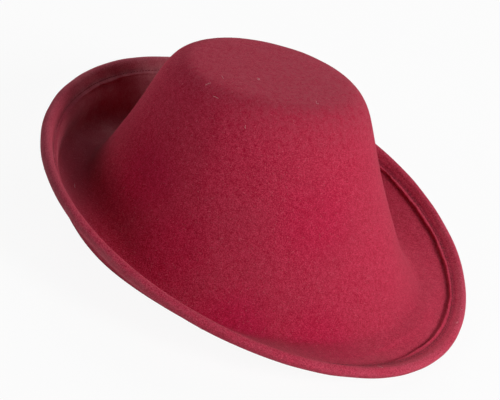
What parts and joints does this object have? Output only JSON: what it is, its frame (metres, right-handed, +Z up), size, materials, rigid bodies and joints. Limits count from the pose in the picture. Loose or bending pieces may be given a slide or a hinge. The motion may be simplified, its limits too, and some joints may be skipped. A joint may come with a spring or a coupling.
{
  "type": "hat",
  "caption": "Blocked red felt hat with a flared crown and a brim that is low in front, turned up at the back and welted over an edge wire.",
  "frame": {"origin": "on the table under the middle of the hat's length and width, at the level on which the brim's hollow rests", "axes": "+Z up from the table, +X along the hat's length towards its low front, +Y to the left side"},
  "size_m": [0.2972, 0.3024, 0.1277],
  "materials": {
    "felt": "wool felt, short brushed nap, matt",
    "ribbon": "ribbed grosgrain",
    "thread": "twisted sewing thread",
    "wire": "drawn spring wire",
    "joiner": "crimped tube"
  },
  "bodies": {
    "root": {"felt_body": "felt", "brim_wire": "wire", "wire_joiner": "joiner", "welt_needle_thread": "thread", "welt_bobbin_thread": "thread", "sweatband": "ribbon", "sweatband_thread": "thread", "bow_loops": "ribbon", "bow_knot": "ribbon"}
  },
  "joints": []
}
